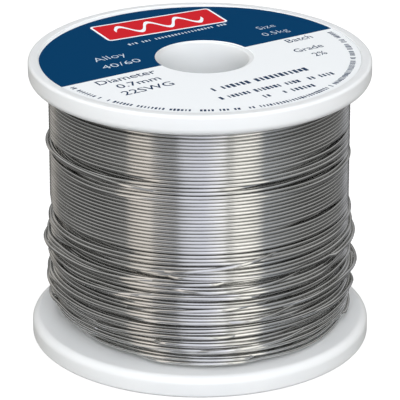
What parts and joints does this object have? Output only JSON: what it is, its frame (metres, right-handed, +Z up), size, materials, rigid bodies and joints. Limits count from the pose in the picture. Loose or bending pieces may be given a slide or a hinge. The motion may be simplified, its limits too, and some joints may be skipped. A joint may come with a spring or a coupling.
{
  "type": "solder wire spool",
  "caption": "Solder wire spool: a moulded plastic spool with a plain through bore, wound full of fine soft solder wire, with a printed paper label on its upper flange.",
  "frame": {"origin": "centre of the face that the spool stands on, at the foot of its axis", "axes": "+Z up along the spool's axis, from the flange it stands on to the labelled flange; X and Y across the flanges, with -Y the side seen from the front"},
  "size_m": [0.066, 0.066, 0.0568],
  "materials": {
    "spool_plastic": "moulded white polystyrene, satin",
    "solder_wire": "bright drawn tin-lead wire, wound in touching turns",
    "label_paper": "semi-gloss printed paper, white with one navy half"
  },
  "bodies": {
    "root": {"spool_body": "spool_plastic", "solder_winding": "solder_wire", "label": "label_paper"}
  },
  "joints": []
}
